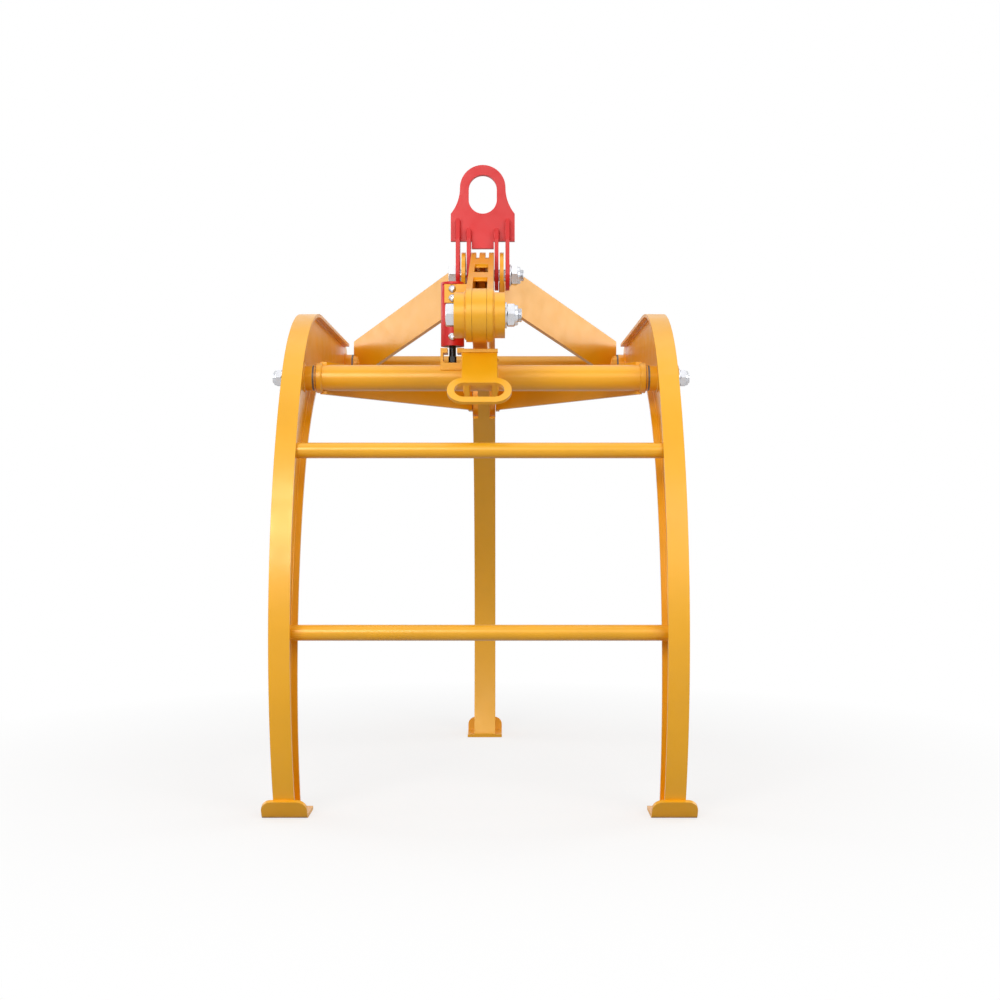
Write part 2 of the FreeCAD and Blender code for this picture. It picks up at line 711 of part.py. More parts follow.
def hanger_lug(name, side, inside, lap):
    """A lug on edge: round at the bolt, and notched at the top to take the eye plate."""
    body = new_body(name, hanger_pivot)
    sketch = new_sketch(body, "YZ_Plane", f"{side} * {inside}")
    notch = eye_plate_thickness / 2
    shelf = shoulder_bottom - hanger_height
    crest = shelf + lap
    draw(sketch, (-hanger_lug_radius, 0), [
        ((0, -hanger_lug_radius), (hanger_lug_radius, 0)),
        ((hanger_lug_radius, shelf),),
        ((lug_top_width / 2, crest),),
        ((notch, crest),),
        ((notch, shelf),),
        ((-notch, shelf),),
        ((-notch, crest),),
        ((-lug_top_width / 2, crest),),
        ((-hanger_lug_radius, shelf),),
    ])
    pad(body, sketch, "hanger_lug_thickness", back=side == -1)
    drill(body, running_bore(main_bolt_diameter), (0, 0))


def grip_handle():
    """The hand grip: a shelf, a sloping neck and an oval ring to hold."""
    body = new_body("grip_handle")
    angle = math.radians(grip_slope)
    shelf_rear = -jaw_pivot_reach - grip_shelf_start
    grip_shelf_top = tube_top + grip_shelf_rise
    ring_reach = shelf_rear - grip_shelf_length - grip_ring_length
    ring_height = grip_shelf_top - grip_ring_length * math.tan(angle)
    neck_end = grip_ring_depth / 2 - grip_rim / 2
    along = (-math.cos(angle), -math.sin(angle))
    upper = (-math.sin(angle) * grip_thickness / 2, math.cos(angle) * grip_thickness / 2)
    ring_centre = (ring_reach, ring_height)
    foot_point = (ring_centre[0] - along[0] * neck_end, ring_centre[1] - along[1] * neck_end)
    top_line = (foot_point[0] + upper[0], foot_point[1] + upper[1])
    low_line = (foot_point[0] - upper[0], foot_point[1] - upper[1])
    bend_top = top_line[0] + (grip_shelf_top - top_line[1]) / math.tan(angle)
    shelf_low = grip_shelf_top - grip_thickness
    bend_low = low_line[0] + (shelf_low - low_line[1]) / math.tan(angle)
    neck = new_sketch(body, "YZ_Plane")
    draw(neck, (shelf_rear, grip_shelf_top), [
        ((bend_top, grip_shelf_top),),
        (top_line,),
        (low_line,),
        ((bend_low, shelf_low),),
        ((shelf_rear, shelf_low),),
    ])
    pad(body, neck, "grip_width", both=True)
    ring = body.newObject("Sketcher::SketchObject", "grip_ring_sketch")
    ring.AttachmentSupport = [(origin_feature(body, "XY_Plane"), "")]
    ring.MapMode = "FlatFace"
    ring.AttachmentOffset = Placement(Vector(0, ring_centre[0], ring_centre[1]),
                                      Rotation(Vector(1, 0, 0), grip_slope))
    for inset in (0, grip_rim):
        radius = grip_ring_depth / 2 - inset
        reach = grip_ring_width / 2 - inset - radius
        draw(ring, (-reach, -radius), [
            ((reach, -radius),),
            ((reach + radius, 0), (reach, radius)),
            ((-reach, radius),),
            ((-reach - radius, 0), (-reach, -radius)),
        ])
    pad(body, ring, "grip_thickness", both=True)


def grip_ribs():
    """Two upright ribs under the shelf, coped against the front tube."""
    body = new_body("grip_ribs")
    shelf_low = tube_top + grip_shelf_rise - grip_thickness
    rib_low = jaw_pivot_height - grip_rib_drop
    sketch = new_sketch(body, "YZ_Plane", "grip_rib_spacing / 2")
    draw(sketch, (-jaw_pivot_reach, shelf_low), [
        ((-jaw_pivot_reach - grip_rib_length, shelf_low),),
        ((-jaw_pivot_reach - front_tube_diameter / 2, rib_low),),
        ((-jaw_pivot_reach, rib_low),),
    ])
    rib = pad(body, sketch, "grip_rib_thickness")
    mirror_across(body, [rib])
    cope(body, front_tube_diameter, (-jaw_pivot_reach, jaw_pivot_height))


def latch_keeper():
    """The keeper: a block saddled on the front tube, with a T-slot open to front and rear."""
    body = new_body("latch_keeper", latch_base)
    sketch = new_sketch(body, "XZ_Plane")
    cavity_low = tube_top + keeper_floor
    lip_low = keeper_top - keeper_lip
    half = keeper_width / 2
    cavity = keeper_cavity_width / 2
    gap = keeper_gap / 2
    draw(sketch, (-half, jaw_pivot_height), [
        ((half, jaw_pivot_height),),
        ((half, keeper_top),),
        ((gap, keeper_top),),
        ((gap, lip_low),),
        ((cavity, lip_low),),
        ((cavity, cavity_low + keeper_corner),),
        ((cavity - keeper_corner, cavity_low),),
        ((keeper_corner - cavity, cavity_low),),
        ((-cavity, cavity_low + keeper_corner),),
        ((-cavity, lip_low),),
        ((-gap, lip_low),),
        ((-gap, keeper_top),),
        ((-half, keeper_top),),
    ])
    pad(body, sketch, "keeper_depth", both=True)
    cope(body, front_tube_diameter, (0, jaw_pivot_height))


def latch_spindle():
    """The turning spindle with its T-head, shown with the head in line with the slot."""
    body = new_body("latch_spindle", latch_base)
    head = new_sketch(body, "XY_Plane", str(head_bottom))
    half = head_width / 2
    end = head_length / 2
    draw(head, (-half, head_corner - end), [
        ((head_corner - half, -end),),
        ((half - head_corner, -end),),
        ((half, head_corner - end),),
        ((half, end - head_corner),),
        ((half - head_corner, end),),
        ((head_corner - half, end),),
        ((-half, end - head_corner),),
    ])
    pad(body, head, "head_thickness")
    stem = new_sketch(body, "XY_Plane", str(head_bottom))
    draw_circle(stem, stem_diameter / 2)
    pad(body, stem, str(window_top - head_bottom))


def latch_housing():
    """The round housing, with a flat window cut in its front."""
    body = new_body("latch_housing", latch_base)
    round_wall = new_sketch(body, "XY_Plane", str(housing_bottom))
    draw_circle(round_wall, housing_diameter / 2)
    draw_circle(round_wall, housing_bore / 2)
    pad(body, round_wall, str(housing_top - housing_bottom))
    window = new_sketch(body, "YZ_Plane")
    draw_box(window, -housing_diameter, window_bottom, -housing_diameter / 2 + window_depth, window_top)
    cut_through(body, window)


def latch_guides():
    """Two guide bushes for the spindle, one behind the bracket and one at the lower end."""
    body = new_body("latch_guides", latch_base)
    for start in (window_top - guide_length, housing_bottom):
        sketch = new_sketch(body, "XY_Plane", str(start))
        draw_circle(sketch, housing_bore / 2)
        draw_circle(sketch, running_bore(stem_diameter) / 2)
        pad(body, sketch, "guide_length")
    flat = new_sketch(body, "YZ_Plane")
    draw_box(flat, -housing_diameter, window_bottom, -housing_diameter / 2 + window_depth, window_top)
    cut_through(body, flat)


def latch_bracket():
    """The bracket plate that carries the housing on the link's left plate."""
    body = new_body("latch_bracket")
    back = jaw_pivot_reach + housing_diameter / 2 - window_depth
    sketch = new_sketch(body, "XZ_Plane", str(back))
    plate_face = rear_web_thickness / 2 + link_clearance + link_plate_thickness
    draw_box(sketch, -latch_side_reach - bracket_overhang, bracket_bottom, -plate_face, bracket_top)
    pad(body, sketch, "bracket_thickness")


def latch_screws():
    """Heads of the two screws that hold the bracket and of the one that holds the lower guide."""
    body = new_body("latch_screws", latch_base)
    wall = housing_diameter / 2
    plate_front = wall - window_depth + bracket_thickness
    low = housing_bottom + guide_length / 2 + lower_screw_offset
    heights = (bracket_middle - screw_spacing / 2, bracket_middle + screw_spacing / 2, low)
    for front, height in zip((plate_front, plate_front, wall), heights):
        dome = new_sketch(body, "XZ_Plane", str(front + side_gap))
        draw_circle(dome, screw_head_diameter / 2, (0, height))
        pad(body, dome, "screw_head_height")


def check_and_export():
    doc.recompute()
    for item in doc.Objects:
        if "Invalid" in item.State or "Error" in item.State:
            raise RuntimeError(f"{item.Label} failed: {item.State}")
    for piece in pieces:
        shape = piece.Shape
        if shape.isNull() or not shape.isValid() or not shape.Solids:
            raise RuntimeError(f"{piece.Label} has no valid shape")
        shape.exportStep(f"parts/{piece.Label}.step")
        box = shape.BoundBox
        print(piece.Label, len(shape.Solids), round(shape.Volume / 1000, 1), "cm3",
              [round(value, 1) for value in (box.XMin, box.YMin, box.ZMin, box.XMax, box.YMax, box.ZMax)])


for label, sign in (("left", -1), ("right", 1)):
    front_arm(f"front_{label}_arm", sign)
    foot(f"front_{label}_foot", f"{sign} * arm_centre", 1)
    v_bar(f"v_bar_{label}", sign)
    rear_fork(f"rear_fork_{label}", sign)
    link_plate(f"link_plate_{label}", sign)
    rear_link_plate(f"rear_link_plate_{label}", sign)
    brace(f"brace_{label}", sign)
    hanger_lug(f"outer_lug_{label}", sign, "outer_lug_inside", outer_lug_lap)
    hanger_lug(f"inner_lug_{label}", sign, "inner_lug_inside", inner_lug_lap)

rung_length = "2 * arm_centre - web_thickness"
for rung in ("upper_rung", "lower_rung"):
    reach = (f"outer_arc_reach - sqrt(outer_arc_radius ^ 2 - ({rung}_height - outer_arc_height) ^ 2)"
             f" + {rung}_inset")
    ring_between(rung, ("0", reach, f"{rung}_height"), rung_length, rung_diameter)
rear_arm()
foot("rear_foot", "0", -1)
cross_tube("front", front_pivot, front_tube_diameter, front_collar_wall)
cross_tube("rear", tube_pivot, rear_tube_diameter, rear_collar_wall)
side_pivot_hardware("front_pivot", front_pivot)
side_pivot_hardware("rear_pivot", tube_pivot)
main_bolt("fork", rear_pivot, "rear_hub_length / 2 + fork_clearance + fork_thickness")
drum_face = "rear_web_thickness / 2 + link_clearance + link_plate_thickness"
ring_pair("link_drums", drum_pivot, drum_face, "link_drum_length", link_drum_diameter,
          running_bore(main_bolt_diameter))
main_bolt("drum", drum_pivot, f"{drum_face} + link_drum_length")
main_bolt("hanger", hanger_pivot, "outer_lug_inside + hanger_lug_thickness")
link_cross_plates()
link_middle_lug()
eye_plate()
grip_handle()
grip_ribs()
latch_keeper()
latch_spindle()
latch_housing()
latch_guides()
latch_bracket()
latch_screws()
check_and_export()
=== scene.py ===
import json
import math

import bpy
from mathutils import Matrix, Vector

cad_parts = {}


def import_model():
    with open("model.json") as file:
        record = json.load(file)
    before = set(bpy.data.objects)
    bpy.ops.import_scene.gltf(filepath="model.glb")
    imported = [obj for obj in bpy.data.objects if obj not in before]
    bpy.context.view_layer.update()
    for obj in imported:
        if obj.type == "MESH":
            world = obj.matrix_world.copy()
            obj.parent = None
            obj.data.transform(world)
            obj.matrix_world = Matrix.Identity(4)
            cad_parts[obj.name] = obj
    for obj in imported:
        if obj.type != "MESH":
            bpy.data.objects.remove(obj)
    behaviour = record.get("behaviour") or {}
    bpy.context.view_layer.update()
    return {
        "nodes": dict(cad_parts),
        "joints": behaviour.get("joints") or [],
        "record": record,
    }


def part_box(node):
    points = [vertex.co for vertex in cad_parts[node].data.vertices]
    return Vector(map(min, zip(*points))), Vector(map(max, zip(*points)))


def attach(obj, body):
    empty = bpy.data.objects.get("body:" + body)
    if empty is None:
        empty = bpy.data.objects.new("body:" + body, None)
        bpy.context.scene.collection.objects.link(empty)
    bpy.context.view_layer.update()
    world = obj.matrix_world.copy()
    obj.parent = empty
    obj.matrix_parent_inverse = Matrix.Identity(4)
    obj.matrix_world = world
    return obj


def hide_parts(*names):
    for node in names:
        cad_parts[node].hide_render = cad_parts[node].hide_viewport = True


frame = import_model()

MM = 0.001

# Camera: level, with the photograph's place and angle.
CAMERA_PLACE = (0.0437, -3.5215, 0.6808)
CAMERA_LENS = 50
CAMERA_SENSOR = 36

# Finishes, as linear colours.
YELLOW = (0.93, 0.435, 0.004)
RED = (0.70, 0.010, 0.010)
ZINC = (0.64, 0.65, 0.68)
DARK_STEEL = (0.16, 0.15, 0.14)
BLACK_STEEL = (0.012, 0.012, 0.013)
FLOOR_COLOUR = (0.96, 0.96, 0.96)
FLOOR_BOUNCE = (0.20, 0.20, 0.20)

# The curved edges of a jaw, in millimetres, as the solids have them.
OUTER_ARC = {"centre": (347.5, 390), "radius": 980, "blend": 420, "top": 1134}
INNER_ARC = {"centre": (363.5, 300), "radius": 880, "blend": 554, "top": 1020}
STRIP = 8
FOOT = 8
FRONT_STRIP_END = 513.5
REAR_STRIP_END = 72.5
REAR_INNER_END_ANGLE = math.radians(128)
ARM_CENTRE = 416.5
ARM_HALF_WEB = 8
REAR_HALF_WEB = 15.5

# Hinge lines, in millimetres: (y, z) pairs, and the reach and height of the links' outer ends.
FRONT_PIVOT = (-307.5, 963)
FORK_PIVOT = (307.5, 963)
LINK_REACH = 542.5
LINK_HEIGHT = 1077
HANGER_HEIGHT = 1250

# Fasteners, in millimetres.
BOLT_RADIUS = 15
BOLT_FLATS = 46
BOLT_HEAD = 18.7
BOLT_PITCH = 3.5
BOLT_WASHER_RADIUS = 28
SIDE_NUT_FLATS = 36
SIDE_NUT_HEIGHT = 19
SIDE_WASHER_RADIUS = 22
WASHER_THICKNESS = 4

# Lamps: name, place, target, size and power.
LAMPS = (
    ("key", (-1.3, -4.3, 2.6), (0, 0, 0.8), (2.2, 2.2), 84),
    ("fill", (2.1, -4.0, 2.4), (0, 0, 0.7), (2.4, 2.4), 50),
    ("top", (0, -0.4, 4.4), (0, 0, 0.8), (3, 3), 22),
    ("left_side", (-4.0, 1.7, 1.6), (0, 0.2, 0.9), (2.4, 2.4), 35),
    ("right_side", (4.0, 1.7, 1.6), (0, 0.2, 0.9), (2.4, 2.4), 35),
)


# Materials

def new_material(name):
    material = bpy.data.materials.new(name)
    material.use_nodes = True
    nodes = material.node_tree.nodes
    return material, nodes, material.node_tree.links, nodes["Principled BSDF"]


def noise(nodes, links, scale, detail=4):
    coordinates = nodes.new("ShaderNodeTexCoord")
    texture = nodes.new("ShaderNodeTexNoise")
    texture.inputs["Scale"].default_value = scale
    texture.inputs["Detail"].default_value = detail
    links.new(coordinates.outputs["Object"], texture.inputs["Vector"])
    return texture.outputs["Fac"]


def ramp(nodes, links, source, stops):
    node = nodes.new("ShaderNodeValToRGB")
    while len(node.color_ramp.elements) < len(stops):
        node.color_ramp.elements.new(0.5)
    for element, (place, colour) in zip(node.color_ramp.elements, stops):
        element.position = place
        element.color = (*colour, 1)
    links.new(source, node.inputs["Fac"])
    return node.outputs["Color"]


def mix(nodes, links, factor, first, second):
    node = nodes.new("ShaderNodeMix")
    node.data_type = "RGBA"
    links.new(factor, node.inputs["Factor"])
    for socket, value in (("A", first), ("B", second)):
        target = [item for item in node.inputs if item.name == socket and item.type == "RGBA"][0]
        if isinstance(value, tuple):
            target.default_value = (*value, 1)
        else:
            links.new(value, target)
    return [item for item in node.outputs if item.type == "RGBA"][0]


def shade(colour, factor):
    return tuple(min(1, part * factor) for part in colour)


def edge_highlight_mask(nodes, links, radius, low, high):
    """White where a surface turns a corner, from the angle between true and rounded normals; it places the
    painted edge highlights.
    """
    bevel = nodes.new("ShaderNodeBevel")
    bevel.samples = 6
    bevel.inputs["Radius"].default_value = radius
    geometry = nodes.new("ShaderNodeNewGeometry")
    dot = nodes.new("ShaderNodeVectorMath")
    dot.operation = "DOT_PRODUCT"
    links.new(bevel.outputs["Normal"], dot.inputs[0])
    links.new(geometry.outputs["Normal"], dot.inputs[1])
    remap = nodes.new("ShaderNodeMapRange")
    remap.inputs["From Min"].default_value = low
    remap.inputs["From Max"].default_value = high
    remap.inputs["To Min"].default_value = 1
    remap.inputs["To Max"].default_value = 0
    links.new(dot.outputs["Value"], remap.inputs["Value"])
    return remap.outputs["Result"]


def add_bump(nodes, links, shader, height, strength, distance, rounding):
    """Fine relief laid over softly rounded edges."""
    bevel = nodes.new("ShaderNodeBevel")
    bevel.samples = 4
    bevel.inputs["Radius"].default_value = rounding
    bump = nodes.new("ShaderNodeBump")
    bump.inputs["Strength"].default_value = strength
    bump.inputs["Distance"].default_value = distance
    links.new(height, bump.inputs["Height"])
    links.new(bevel.outputs["Normal"], bump.inputs["Normal"])
    links.new(bump.outputs["Normal"], shader.inputs["Normal"])


def paint(name, colour, roughness, edge_highlight_tone, metallic, coat):
    """Sprayed gloss enamel: slight orange peel, faint colour drift, and thin paler edges that are a painted
    highlight where rounded edges would catch the light.
    """
    material, nodes, links, shader = new_material(name)
    drift = ramp(nodes, links, noise(nodes, links, 5), [
        (0.35, shade(colour, 0.95)), (0.5, colour), (0.68, shade(colour, 1.04))])
    # Edges are mixed towards a paler tone: a painted highlight standing in for light caught on rounded edges.
    highlit_colour = mix(nodes, links, edge_highlight_mask(nodes, links, 0.0016, 0.80, 0.995), drift, edge_highlight_tone)
    links.new(highlit_colour, shader.inputs["Base Color"])
    rough = ramp(nodes, links, noise(nodes, links, 28), [
        (0.3, (roughness * 0.85,) * 3), (0.7, (roughness * 1.2,) * 3)])
    links.new(rough, shader.inputs["Roughness"])
    shader.inputs["Metallic"].default_value = metallic
    shader.inputs["Coat Weight"].default_value = coat
    shader.inputs["Coat Roughness"].default_value = 0.2
    add_bump(nodes, links, shader, noise(nodes, links, 420, 2), 0.07, 0.0004, 0.0012)
    return material


def steel(name, colour, roughness, metallic=1.0):
    """Plated or machined steel with fine turning marks, and brighter edges that are a painted highlight."""
    material, nodes, links, shader = new_material(name)
    drift = ramp(nodes, links, noise(nodes, links, 40), [
        (0.3, shade(colour, 0.95)), (0.7, shade(colour, 1.04))])
    # Edges are brightened to 1.3 times the colour: a painted highlight on the corners.
    highlit_colour = mix(nodes, links, edge_highlight_mask(nodes, links, 0.0007, 0.80, 0.995), drift, shade(colour, 1.3))
    links.new(highlit_colour, shader.inputs["Base Color"])
    shader.inputs["Metallic"].default_value = metallic
    rough = ramp(nodes, links, noise(nodes, links, 90), [
        (0.3, (roughness * 0.93,) * 3), (0.7, (roughness * 1.08,) * 3)])
    links.new(rough, shader.inputs["Roughness"])
    add_bump(nodes, links, shader, noise(nodes, links, 700, 2), 0.03, 0.0001, 0.0004)
    return material


MATERIALS = {
    # The fourth argument of each paint is the paler tone of its painted edge highlight.
    "yellow_paint": paint("yellow_gloss_paint", YELLOW, 0.36, (0.96, 0.46, 0.010), 0.10, 0.3),
    "red_paint": paint("red_gloss_paint", RED, 0.42, (0.80, 0.03, 0.025), 0.06, 0.08),
    "zinc_steel": steel("zinc_plated_steel", ZINC, 0.26),
    "dark_steel": steel("dark_machined_steel", DARK_STEEL, 0.42),
    "black_steel": steel("black_oxide_steel", BLACK_STEEL, 0.26, 0.2),
}


def dress_frame():
    """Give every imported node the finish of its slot."""
    slots = {item["node"]: item["material_slot"] for item in frame["record"]["subparts"]}
    for node, piece in frame["nodes"].items():
        piece.data.materials.clear()
        piece.data.materials.append(MATERIALS[slots[node]])


# Mesh helpers, in millimetres

def add_piece(name, vertices, faces, body, slot, replaces=()):
    mesh = bpy.data.meshes.new(name)
    mesh.from_pydata([tuple(MM * part for part in vertex) for vertex in vertices], [], faces)
    mesh.validate()
    mesh.update()
    mesh.shade_smooth()
    mesh.set_sharp_from_angle(angle=math.radians(35))
    mesh.materials.append(MATERIALS[slot])
    piece = bpy.data.objects.new(name, mesh)
    bpy.context.collection.objects.link(piece)
    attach(piece, body)
    if replaces:
        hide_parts(*replaces)


def even_points(points, step):
    """Points spaced evenly along a polyline."""
    lengths = [0]
    for first, second in zip(points, points[1:]):
        lengths.append(lengths[-1] + math.dist(first, second))
    count = max(2, round(lengths[-1] / step))
    result = []
    index = 0
    for turn in range(count + 1):
        target = lengths[-1] * turn / count
        while index < len(lengths) - 2 and lengths[index + 1] < target:
            index += 1
        span = lengths[index + 1] - lengths[index] or 1
        share = (target - lengths[index]) / span
        result.append(Vector(points[index]).lerp(Vector(points[index + 1]), share))
    return result


BEAD_STEP = 2.6
BEAD_SIDES = 8
RIPPLE = 0.13


def bead_mesh(points, radius, closed=False):
    """A weld bead: a round string along the points, rippled as laid weld metal is."""
    path = even_points(points, BEAD_STEP)
    if closed:
        path = path[:-1]
    vertices = []
    faces = []
    count = len(path)
    for index, point in enumerate(path):
        before = path[index - 1] if closed or index else path[0]
        after = path[(index + 1) % count] if closed or index < count - 1 else path[-1]
        along = (after - before).normalized()
        side = along.cross(Vector((0.31, 0.52, 0.79))).normalized()
        up = side.cross(along)
        taper = 1 if closed else min(1, 0.35 + min(index, count - 1 - index) * 0.3)
        size = radius * taper * (1 + RIPPLE * math.sin(index * 1.9))
        for turn in range(BEAD_SIDES):
            angle = 2 * math.pi * turn / BEAD_SIDES
            vertices.append(point + size * (math.cos(angle) * side + math.sin(angle) * up))
    for index in range(count if closed else count - 1):
        low = index * BEAD_SIDES
        high = (index + 1) % count * BEAD_SIDES
        for turn in range(BEAD_SIDES):
            following = (turn + 1) % BEAD_SIDES
            faces.append((low + turn, low + following, high + following, high + turn))
    if not closed:
        faces.append(tuple(range(BEAD_SIDES - 1, -1, -1)))
        faces.append(tuple(range((count - 1) * BEAD_SIDES, count * BEAD_SIDES)))
    return vertices, faces


def join(parts):
    """One vertex list and one face list from several."""
    vertices = []
    faces = []
    for some_vertices, some_faces in parts:
        offset = len(vertices)
        vertices += list(some_vertices)
        faces += [tuple(index + offset for index in face) for face in some_faces]
    return vertices, faces


def weld(name, body, runs, radius, closed=False, slot="yellow_paint"):
    """One piece of one or more weld runs."""
    add_piece(name, *join([bead_mesh(run, radius, closed) for run in runs]), body, slot)


def circle_x(x, y, z, radius, steps=48):
    turns = [2 * math.pi * turn / steps for turn in range(steps + 1)]
    return [(x, y + radius * math.cos(angle), z + radius * math.sin(angle)) for angle in turns]


def turned(profile, x, y, z, side, segments=48):
    """A turned shape round an X axis: the profile gives (distance along X, radius)."""
    vertices = []
    faces = []
    for along, radius in profile:
        for turn in range(segments):
            angle = 2 * math.pi * turn / segments
            vertices.append((x + side * along, y + radius * math.cos(angle), z + radius * math.sin(angle)))
    for ring in range(len(profile) - 1):
        for turn in range(segments):
            following = (turn + 1) % segments
            low = ring * segments
            high = low + segments
            face = (low + turn, low + following, high + following, high + turn)
            faces.append(face if side > 0 else face[::-1])
    first = tuple(range(segments - 1, -1, -1))
    last = tuple(range((len(profile) - 1) * segments, len(profile) * segments))
    faces += [first, last] if side > 0 else [first[::-1], last[::-1]]
    return vertices, faces


def hex_body(x, y, z, side, flats, height, base_chamfer=False, segments=72):
    """A hexagon with its corners chamfered as a real bolt head or nut has them."""
    inner = flats / 2
    crown = inner * 0.97
    vertices = []
    for level in range(4):
        for turn in range(segments):
            angle = 2 * math.pi * turn / segments
            within = (angle % (math.pi / 3)) - math.pi / 6
            hexagon = inner / math.cos(within)
            slope = (hexagon - crown) * math.tan(math.radians(30))
            along = (0, slope if base_chamfer else 0, height - slope, height)[level]
            chamfered = level == 3 or (level == 0 and base_chamfer)
            radius = crown if chamfered else hexagon
            vertices.append((x + side * along, y + radius * math.cos(angle), z + radius * math.sin(angle)))
    faces = []
    first_level = 0 if base_chamfer else 1
    for level in range(first_level, 3):
        for turn in range(segments):
            following = (turn + 1) % segments
            face = (level * segments + turn, level * segments + following,
                    (level + 1) * segments + following, (level + 1) * segments + turn)
            faces.append(face if side > 0 else face[::-1])
    start = first_level * segments
    first = tuple(range(start + segments - 1, start - 1, -1))
    last = tuple(range(3 * segments, 4 * segments))
    faces += [first, last] if side > 0 else [first[::-1], last[::-1]]
    return vertices, faces


def thread(x, y, z, side, radius, length, pitch):
    """A threaded end as a stack of fine ridges."""
    profile = [(0, radius * 0.93)]
    turns = int(length / pitch)
    for turn in range(turns):
        profile += [((turn + 0.5) * pitch, radius), ((turn + 1) * pitch, radius * 0.91)]
    profile.append((length, radius * 0.86))
    return turned(profile, x, y, z, side)


# Fasteners

def centre_of(node):
    low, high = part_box(node)
    return [(low[axis] + high[axis]) / 2 / MM for axis in range(3)]


def span_x(node):
    low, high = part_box(node)
    return low[0] / MM, high[0] / MM


def lock_nut(x, y, z, side, flats, height):
    """A lock nut: chamfered hexagon with a rolled collar on its outer end."""
    hexagon = height * 0.72
    ring = flats / 2 * 0.94
    collar = [(hexagon, ring), (height * 0.9, ring), (height * 0.985, ring * 0.94), (height, ring * 0.84)]
    return join([hex_body(x, y, z, side, flats, hexagon, True), turned(collar, x, y, z, side)])


def washer_rim(radius):
    """Profile of a washer with a rounded rim."""
    return [(0, radius - 0.8), (0.6, radius), (3.2, radius), (WASHER_THICKNESS, radius - 0.8)]


def main_bolt(prefix, body):
    """An M30 bolt with chamfered head, washer with a rounded rim, lock nut and threaded end."""
    x0, x1 = span_x(f"{prefix}_bolt")
    _, y, z = centre_of(f"{prefix}_bolt")
    washer_left, washer_right = span_x(f"{prefix}_washer")
    nut_left, nut_right = span_x(f"{prefix}_nut")
    neck = x0 + BOLT_HEAD
    head = hex_body(neck, y, z, -1, BOLT_FLATS, BOLT_HEAD)
    shank = turned([(0, BOLT_RADIUS), (washer_right - neck, BOLT_RADIUS)], neck, y, z, 1)
    end = thread(washer_right, y, z, 1, BOLT_RADIUS, x1 - washer_right, BOLT_PITCH)
    add_piece(f"{prefix}_bolt_detail", *join([head, shank, end]), body, "zinc_steel",
              replaces=(f"{prefix}_bolt",))
    nut = lock_nut(nut_left, y, z, 1, BOLT_FLATS, nut_right - nut_left)
    add_piece(f"{prefix}_lock_nut", *nut, body, "zinc_steel", replaces=(f"{prefix}_nut",))
    washer = turned(washer_rim(BOLT_WASHER_RADIUS), washer_left, y, z, 1)
    add_piece(f"{prefix}_round_washer", *washer, body, "zinc_steel", replaces=(f"{prefix}_washer",))


def side_fasteners(prefix):
    """Lock nuts and washers of the two M24 studs at a side pivot."""
    _, y, z = centre_of(f"{prefix}_studs")
    nut_inside = span_x(f"{prefix}_nuts")[1] - SIDE_NUT_HEIGHT
    nuts = [lock_nut(side * nut_inside, y, z, side, SIDE_NUT_FLATS, SIDE_NUT_HEIGHT) for side in (-1, 1)]
    add_piece(f"{prefix}_lock_nuts", *join(nuts), "front_jaw", "zinc_steel", replaces=(f"{prefix}_nuts",))
    washer = span_x(f"{prefix}_washers")[1] - WASHER_THICKNESS
    rim = washer_rim(SIDE_WASHER_RADIUS)
    discs = [turned(rim, side * washer, y, z, side) for side in (-1, 1)]
    add_piece(f"{prefix}_round_washers", *join(discs), "front_jaw", "zinc_steel",
              replaces=(f"{prefix}_washers",))


def dome_screw(x, y, z):
    """A button-head screw facing the front, with a hexagon socket sunk in its dome."""
    rings = [(0, 8.9), (1.6, 8.7), (3.4, 7.5), (5.0, 5.2), (5.7, 3.4), (3.0, 3.2), (3.0, 0.01)]
    segments = 36
    vertices = []
    for depth, radius in rings:
        for turn in range(segments):
            angle = 2 * math.pi * turn / segments
            size = radius
            if radius < 3.45:
                size = radius * 0.9 / math.cos((angle % (math.pi / 3)) - math.pi / 6)
            vertices.append((x + size * math.cos(angle), y - depth, z + size * math.sin(angle)))
    faces = [tuple(range(segments))]
    for ring in range(len(rings) - 1):
        for turn in range(segments):
            following = (turn + 1) % segments
            low = ring * segments
            high = low + segments
            faces.append((low + turn, high + turn, high + following, low + following))
    faces.append(tuple(range((len(rings) - 1) * segments, len(rings) * segments))[::-1])
    return vertices, faces


# Plates and rings

FORK_HALF = 38.5
FORK_ROOT = 247.5
COLLAR_START = 367.5
COLLAR_WIDTH = 12
BRACE_START = (53, 50)
BRACE_END = (384, LINK_REACH)
BRACE_THICKNESS = 10
BRACE_LEAN = (BRACE_END[0] - BRACE_START[0]) / (BRACE_END[1] - BRACE_START[1])
BRACE_BREADTH = BRACE_THICKNESS * math.hypot(1, BRACE_LEAN)
BRACE_TOP = (1291.5, 1145.2)
BRACE_BOTTOM = (1182.4, 1032.2)
TUBE_NOTCH_RADIUS = 25.2
TUBE_WELD_RADIUS = 26
# The upper inner corner is cut off so that the swung hanger's outer lugs pass.
LUG_CLEAR = (91, 1240)


def prism_faces(count):
    """Faces of a prism whose two ends have this many corners each."""
    faces = [tuple(range(count - 1, -1, -1)), tuple(range(count, 2 * count))]
    for index in range(count):
        following = (index + 1) % count
        faces.append((index, following, count + following, count + index))
    return faces


def brace_height(edge, y):
    """Height of a brace's upper or lower edge at a place along its slope."""
    share = (y - BRACE_START[1]) / (BRACE_END[1] - BRACE_START[1])
    return edge[0] + share * (edge[1] - edge[0])


